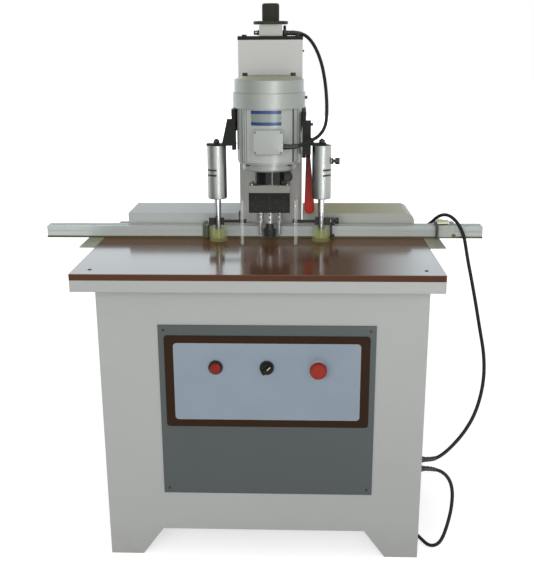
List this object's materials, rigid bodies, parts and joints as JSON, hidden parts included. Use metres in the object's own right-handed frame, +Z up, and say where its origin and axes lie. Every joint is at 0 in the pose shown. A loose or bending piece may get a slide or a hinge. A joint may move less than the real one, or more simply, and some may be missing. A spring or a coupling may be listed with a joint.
{
  "type": "hinge boring machine",
  "caption": "Floor-standing hinge boring machine: cabinet, laminate table with fence and stops, column with air lift, motor with gear head and bits, air clamps and a clear guard.",
  "frame": {"origin": "on the floor under the middle of the table and the fence", "axes": "+X to the operator's right along the fence, +Y from the operator to the column, +Z up"},
  "size_m": [1.228, 0.62, 1.4323],
  "materials": {
    "cabinet_paint": "smooth pale grey enamel",
    "panel_paint": "satin grey-green enamel",
    "overlay_print": "pale blue field with a dark brown edge",
    "laminate": "glossy dark brown laminate",
    "khaki_paint": "satin khaki enamel",
    "bright_aluminium": "drawn, clear anodised",
    "motor_paint": "silver enamel",
    "steel": "turned",
    "black_steel": "black oxide",
    "iron": "laminated core",
    "black_plastic": "moulded",
    "pale_plastic": "moulded",
    "red_plastic": "moulded",
    "clear_sheet": "clear bent sheet",
    "soft_pad": "translucent yellow-green",
    "cable_sheath": "black sheath",
    "brass": "plain"
  },
  "bodies": {
    "frame": {"front_wall": "cabinet_paint", "left_wall": "cabinet_paint", "right_wall": "cabinet_paint", "rear_wall": "cabinet_paint", "foot_plates": "black_steel", "table_frame": "cabinet_paint", "table_board": "laminate", "frame_screws": "black_steel", "control_plate": "panel_paint", "panel_overlay": "overlay_print", "switch_bodies": "black_plastic", "lamp_lens": "red_plastic", "contactor": "pale_plastic", "air_valve": "bright_aluminium", "fence": "bright_aluminium", "fence_wings": "khaki_paint", "rear_covers": "khaki_paint", "column": "cabinet_paint", "column_cap": "black_steel", "guide_rods": "steel", "lift_cylinder": "bright_aluminium", "cylinder_head": "cabinet_paint", "clamp_brackets": "black_steel", "clamp_barrels": "bright_aluminium", "clamp_caps": "steel", "glands": "black_plastic", "motor_cable": "cable_sheath", "loop_cable": "cable_sheath", "mains_lead": "cable_sheath", "mains_coil": "cable_sheath", "mains_plug": "black_plastic"},
    "head": {"carriage": "iron", "bearings": "steel", "motor_housing": "motor_paint", "motor_flange": "motor_paint", "fan_cover": "motor_paint", "terminal_box": "motor_paint", "clamp_collar": "black_steel", "gearbox": "black_steel", "gearbox_lid": "steel", "head_screws": "black_steel", "lift_rod": "steel", "stator": "iron"},
    "spindle": {"rotor": "steel", "drive_gear": "steel", "hinge_bit": "steel"},
    "clamps": {"clamp_rods": "steel", "clamp_pads": "soft_pad", "guard_arms": "black_steel", "guard": "clear_sheet"},
    "left_spindle": {"left_spindle": "steel"},
    "right_spindle": {"right_spindle": "steel"},
    "depth_knob": {"depth_knob": "black_steel"},
    "selector_knob": {"selector_knob": "black_plastic"},
    "stop_button": {"stop_button": "red_plastic"},
    "lock_lever": {"lock_lever": "red_plastic"},
    "flow_knob": {"flow_knob": "brass"},
    "left_stop": {"left_stop": "bright_aluminium"},
    "right_stop": {"right_stop": "bright_aluminium"},
    "end_stop": {"end_stop": "bright_aluminium"}
  },
  "joints": [
    {"name": "head_slide", "type": "slide", "parent": "frame", "child": "head", "axis": [0, 0, 1], "range_m": [0, 0.06], "deforming": ["motor_cable"]},
    {"name": "spindle_spin", "type": "hinge", "parent": "head", "child": "spindle", "pos_m": [0.02, 0.0655, 0.9], "axis": [0, 0, 1], "continuous": true},
    {"name": "left_spin", "type": "hinge", "parent": "head", "child": "left_spindle", "pos_m": [-0.006, 0.071, 0.9], "axis": [0, 0, 1], "continuous": true},
    {"name": "right_spin", "type": "hinge", "parent": "head", "child": "right_spindle", "pos_m": [0.046, 0.071, 0.9], "axis": [0, 0, 1], "continuous": true},
    {"name": "depth_turn", "type": "hinge", "parent": "head", "child": "depth_knob", "pos_m": [0.02, 0.2205, 1.4], "axis": [0, 0, 1], "range_deg": [0, 1440]},
    {"name": "clamp_slide", "type": "slide", "parent": "frame", "child": "clamps", "axis": [0, 0, 1], "range_m": [0, 0.05]},
    {"name": "selector_turn", "type": "hinge", "parent": "frame", "child": "selector_knob", "pos_m": [0.022, -0.265, 0.545], "axis": [0, -1, 0], "range_deg": [0, 90]},
    {"name": "stop_press", "type": "slide", "parent": "frame", "child": "stop_button", "axis": [0, 1, 0], "range_m": [0, 0.005], "stiffness_N_per_m": 800, "springref_m": -0.004},
    {"name": "lever_swing", "type": "hinge", "parent": "frame", "child": "lock_lever", "pos_m": [0.126, 0.118, 1.034], "axis": [1, 0, 0], "range_deg": [0, 75]},
    {"name": "flow_turn", "type": "hinge", "parent": "frame", "child": "flow_knob", "pos_m": [0.2, 0.048, 1.021], "axis": [1, 0, 0], "range_deg": [0, 720]},
    {"name": "left_stop_slide", "type": "slide", "parent": "frame", "child": "left_stop", "axis": [-1, 0, 0], "range_m": [0, 0.12]},
    {"name": "right_stop_slide", "type": "slide", "parent": "frame", "child": "right_stop", "axis": [1, 0, 0], "range_m": [0, 0.12]},
    {"name": "end_stop_slide", "type": "slide", "parent": "frame", "child": "end_stop", "axis": [-1, 0, 0], "range_m": [0, 0.1]}
  ],
  "couplings": [
    {"joint": "left_spin", "follows": "spindle_spin", "ratio": -1},
    {"joint": "right_spin", "follows": "spindle_spin", "ratio": -1}
  ]
}
